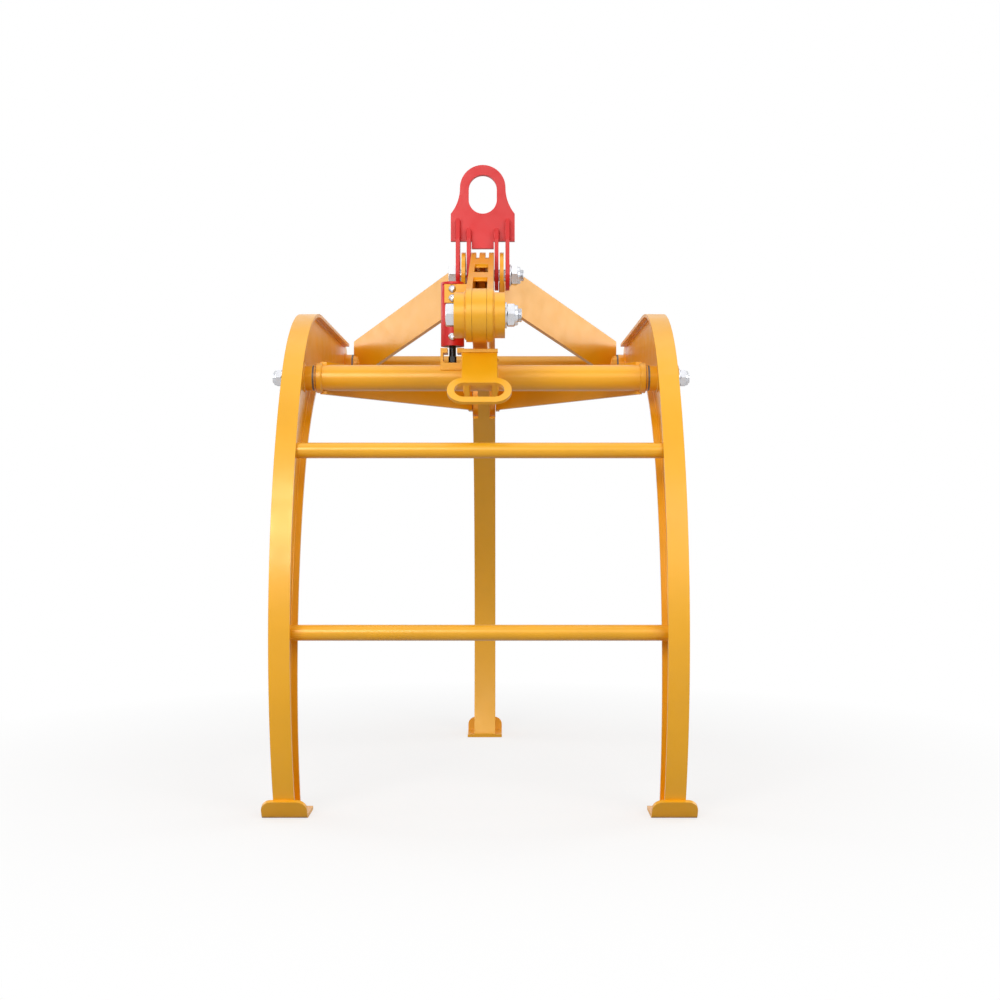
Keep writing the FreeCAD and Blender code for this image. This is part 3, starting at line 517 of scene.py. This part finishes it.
def brace_plate(name, side):
    """A slanting plate from a rear link plate to the end of the rear tube, notched round the tube."""
    start, end = BRACE_START[1], BRACE_END[1]
    outline = [(start, BRACE_BOTTOM[0]), (end, BRACE_BOTTOM[1])]
    for turn in range(-90, 91, 10):
        angle = math.radians(turn)
        outline.append((end - TUBE_NOTCH_RADIUS * math.cos(angle),
                        LINK_HEIGHT + TUBE_NOTCH_RADIUS * math.sin(angle)))
    outline += [(end, BRACE_TOP[1] - 3), (end - 3, BRACE_TOP[1])]
    outline += [(LUG_CLEAR[0], brace_height(BRACE_TOP, LUG_CLEAR[0])), (start, LUG_CLEAR[1])]
    vertices = []
    for inset in (BRACE_BREADTH, 0):
        for y, z in outline:
            vertices.append((side * (BRACE_START[0] + (y - start) * BRACE_LEAN - inset), y, z))
    faces = prism_faces(len(outline))
    if side < 0:
        faces = [face[::-1] for face in faces]
    add_piece(f"{name}_plate", vertices, faces, "rear_link", "yellow_paint", replaces=(name,))


def side_plate(name, outline, x0, x1, body, replaces):
    """A flat plate across X, from an outline of (y, z) points that runs anticlockwise seen from +X."""
    vertices = [(x, y, z) for x in (x0, x1) for y, z in outline]
    add_piece(name, vertices, prism_faces(len(outline)), body, "yellow_paint", replaces=replaces)


def fork_plates():
    """The two fork plates at the rear hinge, as deep as the V bars and round at the bolt."""
    arc = [math.radians(turn) for turn in range(-90, 91, 6)]
    reach, height = FORK_PIVOT
    outline = [(FORK_ROOT, height - FORK_HALF)]
    outline += [(reach + FORK_HALF * math.cos(turn), height + FORK_HALF * math.sin(turn)) for turn in arc]
    outline.append((FORK_ROOT, height + FORK_HALF))
    for label, x0 in (("left", -42), ("right", 32)):
        side_plate(f"fork_plate_{label}", outline, x0, x0 + 10, "frame", (f"rear_fork_{label}",))


def grip_shelf_end():
    """The square end of the grip's shelf plate, standing a little proud of the sloping neck."""
    outline = [(-516.2, 1000), (-500, 1000), (-500, 1008.4), (-516.2, 1008.4), (-517, 1007.6), (-517, 1000.8)]
    side_plate("grip_shelf_end", outline, -39, 39, "frame", ())


FOOT_HALF_WIDTH = 49
FOOT_HEEL = 464.6
TOE_BEND = 544
TOE_ANGLE = math.radians(60)
TOE_LENGTH = 36.1
TOE_CORNER = 23
BEND_RADIUS = 12


def foot_path():
    """Stations along a foot's middle plane: length, y, z, and the angle that it has turned up by."""
    flat = TOE_BEND - FOOT_HEEL
    stations = [(0, FOOT_HEEL, FOOT / 2, 0), (flat, TOE_BEND, FOOT / 2, 0)]
    for step in range(1, 9):
        turn = TOE_ANGLE * step / 8
        stations.append((flat + BEND_RADIUS * turn, TOE_BEND + BEND_RADIUS * math.sin(turn),
                         FOOT / 2 + BEND_RADIUS * (1 - math.cos(turn)), turn))
    length, y, z, turn = stations[-1]
    straight = TOE_LENGTH - TOE_CORNER
    corner = [TOE_CORNER * math.sin(math.radians(angle)) for angle in range(10, 91, 10)]
    for place in [straight] + [straight + past for past in corner]:
        stations.append((length + place, y + place * math.cos(turn), z + place * math.sin(turn), turn))
    return stations


def foot_plate(label, body, x, flip):
    """A pressed foot: a flat sole whose toe turns up and ends in wide round corners."""
    stations = foot_path()
    total = stations[-1][0]
    vertices = []
    for length, y, z, turn in stations:
        past = max(0, length - (total - TOE_CORNER)) / TOE_CORNER
        half = FOOT_HALF_WIDTH - TOE_CORNER * (1 - math.sqrt(max(0, 1 - past * past)))
        for offset in (-FOOT / 2, FOOT / 2):
            for side in (-1, 1):
                vertices.append((x + side * half, flip * (-y + offset * math.sin(turn)),
                                 z + offset * math.cos(turn)))
    faces = [(0, 1, 3, 2)]
    for index in range(len(stations) - 1):
        low = index * 4
        high = low + 4
        for first, second in ((0, 2), (2, 3), (3, 1), (1, 0)):
            faces.append((low + first, low + second, high + second, high + first))
    last = (len(stations) - 1) * 4
    faces.append((last, last + 2, last + 3, last + 1))
    if flip < 0:
        faces = [face[::-1] for face in faces]
    node = "rear_foot" if body == "rear_jaw" else f"front_{label}_foot"
    add_piece(f"{label}_foot_plate", vertices, faces, body, "yellow_paint", replaces=(node,))


def small_rings():
    """Spacers in the front link's head, the front collars, and the dark seams beside them."""
    spacer = [(0, 44), (0.5, 45), (7, 45), (7.5, 44)]
    rings = [turned(spacer, side * 8, 0, HANGER_HEIGHT, side) for side in (-1, 1)]
    add_piece("head_spacers", *join(rings), "front_link", "yellow_paint")
    collar = [(0, 34), (1, 35), (COLLAR_WIDTH - 1, 35), (COLLAR_WIDTH, 34)]
    rings = [turned(collar, side * COLLAR_START, *FRONT_PIVOT, side) for side in (-1, 1)]
    add_piece("front_collar_rings", *join(rings), "frame", "yellow_paint", replaces=("front_tube_collars",))
    joint = [(0, 30.2), (0.3, 30.6), (1.3, 30.6), (1.6, 30.2)]
    collar_end = COLLAR_START + COLLAR_WIDTH
    rings = [turned(joint, side * collar_end, *FRONT_PIVOT, side) for side in (-1, 1)]
    add_piece("collar_joint_rings", *join(rings), "frame", "dark_steel")


# Welds

# How far a seam's bead stands off the plates it joins.
SEAM_GAP = 0.8
# Height above the sole at which the arms' seams start.
SEAM_START = 3


def jaw_curve(arc, inset, end_angle=math.pi / 2, straight_end=None, flip=1, x=0, steps=40):
    """The path of a weld that follows a curved edge, a little inside the strip."""
    centre = arc["centre"]
    radius = arc["radius"] + inset
    blend = arc["blend"] + inset
    top = arc["top"] + inset
    blend_angle = math.pi - math.asin((top - centre[1] - blend) / (radius - blend))
    foot_angle = math.pi + math.asin((centre[1] - FOOT - SEAM_START) / radius)
    swing = radius - blend
    blend_centre = (centre[0] + swing * math.cos(blend_angle), centre[1] + swing * math.sin(blend_angle))
    path = []
    for step in range(steps + 1):
        angle = foot_angle + (blend_angle - foot_angle) * step / steps
        path.append((x, flip * (centre[0] + radius * math.cos(angle)), centre[1] + radius * math.sin(angle)))
    for step in range(1, steps + 1):
        angle = blend_angle + (end_angle - blend_angle) * step / steps
        path.append((x, flip * (blend_centre[0] + blend * math.cos(angle)),
                     blend_centre[1] + blend * math.sin(angle)))
    if straight_end is not None:
        path.append((x, flip * straight_end, top))
    return path


def arm_welds():
    """The long seams between the arms' webs and their curved strips."""
    for label, centre in (("left", -ARM_CENTRE), ("right", ARM_CENTRE)):
        runs = []
        for side in (-1, 1):
            x = centre + side * (ARM_HALF_WEB + SEAM_GAP)
            runs.append(jaw_curve(OUTER_ARC, -STRIP - SEAM_GAP, straight_end=FRONT_STRIP_END, x=x))
            runs.append(jaw_curve(INNER_ARC, STRIP + SEAM_GAP, straight_end=FRONT_STRIP_END, x=x))
        weld(f"{label}_arm_seam_welds", "front_jaw", runs, 2.2)
    runs = []
    for side in (-1, 1):
        x = side * (REAR_HALF_WEB + SEAM_GAP)
        runs.append(jaw_curve(OUTER_ARC, -STRIP - SEAM_GAP, straight_end=REAR_STRIP_END, flip=-1, x=x))
        runs.append(jaw_curve(INNER_ARC, STRIP + SEAM_GAP, end_angle=REAR_INNER_END_ANGLE, flip=-1, x=x))
    weld("rear_arm_seam_welds", "rear_jaw", runs, 2.2)


def ring_welds():
    """Round weld runs where bosses, tubes, rungs and drums meet plates."""
    for node in ("upper_rung", "lower_rung"):
        low, high = span_x(node)
        _, y, z = centre_of(node)
        runs = [circle_x(x, y, z, 18.4) for x in (low + 1.4, high - 1.4)]
        weld(f"{node}_welds", "front_jaw", runs, 2.8, True)
    for joint, name in (("front_jaw_hinge", "front"), ("rear_link_hinge", "rear")):
        place = next(item for item in frame["joints"] if item["name"] == joint)["pos_m"]
        y, z = place[1] / MM, place[2] / MM
        runs = [circle_x(side * x, y, z, 30) for side in (-1, 1) for x in (425.4, 407.6)]
        weld(f"{name}_boss_welds", "front_jaw", runs, 3.0, True)
        body = "frame" if name == "front" else "rear_link"
        radius = 31.4 if name == "front" else 26.4
        start = COLLAR_START if name == "front" else span_x("rear_tube_collars")[1] - 13.6
        runs = [circle_x(side * start, y, z, radius) for side in (-1, 1)]
        weld(f"{name}_collar_welds", body, runs, 2.4, True)
    _, y, z = centre_of("link_drums")
    weld("drum_welds", "front_link", [circle_x(side * 29.4, y, z, 50) for side in (-1, 1)], 2.6, True)


def feet():
    """The three pressed feet and the weld runs that join them to the arms."""
    for label, body, x, flip in (("left", "front_jaw", -ARM_CENTRE, 1), ("right", "front_jaw", ARM_CENTRE, 1),
                                 ("rear", "rear_jaw", 0, -1)):
        half = 22.5 if body == "front_jaw" else 30
        foot_plate(label, body, x, flip)
        outer = jaw_curve(OUTER_ARC, 0)[0][1]
        inner = jaw_curve(INNER_ARC, 0)[0][1]
        runs = [[(x - half, flip * (inner + 0.5), FOOT + 1.2), (x + half, flip * (inner + 0.5), FOOT + 1.2)]]
        web = ARM_HALF_WEB if body == "front_jaw" else REAR_HALF_WEB
        for side in (-1, 1):
            across = x + side * (web + 1)
            runs.append([(across, flip * (outer + 14), FOOT + 1), (across, flip * (inner - 10), FOOT + 1)])
        weld(f"{label}_foot_welds", body, runs, 2.8)


def frame_welds():
    """Weld runs of the V bars, fork plates, hand grip and latch keeper."""
    runs = []
    for side in (-1, 1):
        for z in (FORK_PIVOT[1] - 37.5, FORK_PIVOT[1] + 37.5):
            runs.append([(side * 32, 247.5, z), (side * 44, 247.5, z)])
        runs.append([(side * 43, 248.3, 928), (side * 43, 248.3, 998)])
        runs.append([(side * 353, -276.5, 950), (side * 352, -276, 977)])
    weld("fork_welds", "frame", runs, 2.6)
    runs = []
    for side in (-1, 1):
        for x in (side * 25.4, side * 38.6):
            runs.append([(x, -338, 925), (x, -338.6, 963), (x, -333, 985)])
            runs.append([(x, -385, 999.4), (x, -330, 999.4)])
    weld("grip_rib_welds", "frame", runs, 2.0)
    left, right = span_x("latch_keeper")
    weld("keeper_welds", "frame", [[(left, y, 980.6), (right, y, 980.6)] for y in (-333.2, -281.8)], 2.2)


def link_welds():
    """Weld runs of the two links and the hanger."""
    slope = math.atan2(HANGER_HEIGHT - LINK_HEIGHT, LINK_REACH)

    def on_link(along, above, x):
        return (x, -LINK_REACH + along * math.cos(slope) - above * math.sin(slope),
                LINK_HEIGHT + along * math.sin(slope) + above * math.cos(slope))

    runs = []
    for start, end in ((160, 238), (368, 460)):
        for along in (start - 0.6, end + 0.6):
            runs.append([on_link(along, 50, -15.5), on_link(along, 50, 15.5)])
    weld("cross_plate_welds", "front_link", runs, 1.8)
    runs = []
    for side in (-1, 1):
        runs.append([(side * 53.8, 50, 1185), (side * 53.8, 50, LUG_CLEAR[1])])
        for x in (BRACE_END[0] + 0.6, BRACE_END[0] - BRACE_BREADTH - 0.6):
            arc = [math.radians(angle) for angle in range(-66, 67, 11)]
            runs.append([(side * (x - TUBE_WELD_RADIUS * BRACE_LEAN * math.cos(turn)),
                          LINK_REACH - TUBE_WELD_RADIUS * math.cos(turn),
                          LINK_HEIGHT + TUBE_WELD_RADIUS * math.sin(turn)) for turn in arc])
    weld("rear_link_welds", "rear_link", runs, 2.4)
    runs = []
    for node in ("outer_lug_left", "outer_lug_right", "inner_lug_left", "inner_lug_right"):
        low, high = span_x(node)
        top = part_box(node)[1][2] / MM
        for x in (low - 0.4, high + 0.4):
            for y in (-8.4, 8.4):
                runs.append([(x, y, 1338), (x, y, top - 2)])
    weld("hanger_lug_welds", "hanger", runs, 2.0, slot="red_paint")


# Latch details

LATCH_PLACE = (-66, -307.5)
# Each screw's seat in front of the spindle's line, and its height.
LATCH_SCREWS = ((23.3, 1165.9), (23.3, 1144.9), (27.3, 1056))
SPRING_RADIUS = 13
SPRING_WIRE_RADIUS = 2
SPRING_BOTTOM = 1074
SPRING_HEIGHT = 64
SPRING_TURNS = 7
SPRING_STEPS = 18


def latch_details():
    """The latch housing's button-head screws and the spring on its spindle."""
    x, y = LATCH_PLACE
    screws = [dome_screw(x, y - front, height) for front, height in LATCH_SCREWS]
    add_piece("latch_button_screws", *join(screws), "front_link", "zinc_steel", replaces=("latch_screws",))
    wire = []
    count = SPRING_TURNS * SPRING_STEPS
    for step in range(count + 1):
        angle = 2 * math.pi * step / SPRING_STEPS
        wire.append((x + SPRING_RADIUS * math.cos(angle), y + SPRING_RADIUS * math.sin(angle),
                     SPRING_BOTTOM + SPRING_HEIGHT * step / count))
    add_piece("latch_spring", *smooth_tube(wire, SPRING_WIRE_RADIUS), "front_link", "zinc_steel")


def smooth_tube(path, radius, sides=10):
    """A round wire along the path."""
    points = [Vector(point) for point in path]
    vertices = []
    faces = []
    for index, point in enumerate(points):
        along = (points[min(index + 1, len(points) - 1)] - points[max(index - 1, 0)]).normalized()
        side = along.cross(Vector((0, 0, 1))).normalized()
        up = side.cross(along)
        for turn in range(sides):
            angle = 2 * math.pi * turn / sides
            vertices.append(point + radius * (math.cos(angle) * side + math.sin(angle) * up))
    for index in range(len(points) - 1):
        for turn in range(sides):
            following = (turn + 1) % sides
            low = index * sides
            faces.append((low + turn, low + following, low + sides + following, low + sides + turn))
    faces.append(tuple(range(sides - 1, -1, -1)))
    faces.append(tuple(range((len(points) - 1) * sides, len(points) * sides)))
    return vertices, faces


# Stage

def floor():
    """A pale floor that fades to pure white away from the part."""
    bpy.ops.mesh.primitive_plane_add(size=40, location=(0, 8, 0))
    plane = bpy.context.object
    plane.name = "studio_floor"
    material, nodes, links, shader = new_material("pale_floor")
    rays = nodes.new("ShaderNodeLightPath")
    seen_ray = nodes.new("ShaderNodeMath")
    seen_ray.operation = "MAXIMUM"
    links.new(rays.outputs["Is Camera Ray"], seen_ray.inputs[0])
    links.new(rays.outputs["Is Glossy Ray"], seen_ray.inputs[1])
    tone = mix(nodes, links, seen_ray.outputs[0], FLOOR_BOUNCE, FLOOR_COLOUR)
    links.new(tone, shader.inputs["Base Color"])
    shader.inputs["Roughness"].default_value = 0.9
    shader.inputs["Specular IOR Level"].default_value = 0.1
    white = nodes.new("ShaderNodeEmission")
    white.inputs["Color"].default_value = (1, 1, 1, 1)
    coordinates = nodes.new("ShaderNodeTexCoord")
    shift = nodes.new("ShaderNodeVectorMath")
    shift.operation = "ADD"
    shift.inputs[1].default_value = (0, 8, 0)
    links.new(coordinates.outputs["Object"], shift.inputs[0])
    distance = nodes.new("ShaderNodeVectorMath")
    distance.operation = "LENGTH"
    links.new(shift.outputs["Vector"], distance.inputs[0])
    fade = nodes.new("ShaderNodeMapRange")
    fade.inputs["From Min"].default_value = 0.7
    fade.inputs["From Max"].default_value = 1.7
    fade.inputs["To Min"].default_value = 0.68
    fade.inputs["To Max"].default_value = 1.0
    links.new(distance.outputs["Value"], fade.inputs["Value"])
    seen = nodes.new("ShaderNodeMath")
    seen.operation = "MULTIPLY"
    links.new(fade.outputs["Result"], seen.inputs[0])
    links.new(rays.outputs["Is Camera Ray"], seen.inputs[1])
    blend = nodes.new("ShaderNodeMixShader")
    links.new(seen.outputs[0], blend.inputs["Fac"])
    links.new(shader.outputs["BSDF"], blend.inputs[1])
    links.new(white.outputs["Emission"], blend.inputs[2])
    links.new(blend.outputs["Shader"], nodes["Material Output"].inputs["Surface"])
    plane.data.materials.append(material)


def world():
    """White where it is seen or mirrored, and a soft grey light elsewhere."""
    scene_world = bpy.data.worlds.new("studio")
    bpy.context.scene.world = scene_world
    scene_world.use_nodes = True
    nodes = scene_world.node_tree.nodes
    links = scene_world.node_tree.links
    background = nodes["Background"]
    background.inputs["Color"].default_value = (1, 1, 1, 1)
    rays = nodes.new("ShaderNodeLightPath")
    seen_or_mirrored = nodes.new("ShaderNodeMath")
    seen_or_mirrored.operation = "MAXIMUM"
    links.new(rays.outputs["Is Camera Ray"], seen_or_mirrored.inputs[0])
    links.new(rays.outputs["Is Glossy Ray"], seen_or_mirrored.inputs[1])
    shows_white = nodes.new("ShaderNodeMath")
    shows_white.operation = "MAXIMUM"
    links.new(seen_or_mirrored.outputs[0], shows_white.inputs[0])
    links.new(rays.outputs["Is Transmission Ray"], shows_white.inputs[1])
    strength = nodes.new("ShaderNodeMapRange")
    strength.inputs["To Min"].default_value = 0.42
    strength.inputs["To Max"].default_value = 1.0
    links.new(shows_white.outputs[0], strength.inputs["Value"])
    links.new(strength.outputs["Result"], background.inputs["Strength"])


def lamp(name, place, target, size, power):
    data = bpy.data.lights.new(name, "AREA")
    data.shape = "RECTANGLE"
    data.size, data.size_y = size
    data.energy = power
    piece = bpy.data.objects.new(name, data)
    piece.location = place
    piece.rotation_euler = (Vector(target) - Vector(place)).to_track_quat("-Z", "Y").to_euler()
    bpy.context.collection.objects.link(piece)


def camera():
    data = bpy.data.cameras.new("camera")
    data.lens = CAMERA_LENS
    data.sensor_width = CAMERA_SENSOR
    piece = bpy.data.objects.new("camera", data)
    piece.location = CAMERA_PLACE
    piece.rotation_euler = (math.pi / 2, 0, 0)
    bpy.context.collection.objects.link(piece)
    bpy.context.scene.camera = piece


camera()
world()
floor()
for lamp_values in LAMPS:
    lamp(*lamp_values)
bpy.context.scene.view_settings.view_transform = "Standard"

dress_frame()
for prefix, body in (("fork", "frame"), ("drum", "front_link"), ("hanger", "hanger")):
    main_bolt(prefix, body)
side_fasteners("front_pivot")
side_fasteners("rear_pivot")
for name, side in (("brace_left", -1), ("brace_right", 1)):
    brace_plate(name, side)
small_rings()
fork_plates()
grip_shelf_end()
arm_welds()
ring_welds()
feet()
frame_welds()
link_welds()
latch_details()
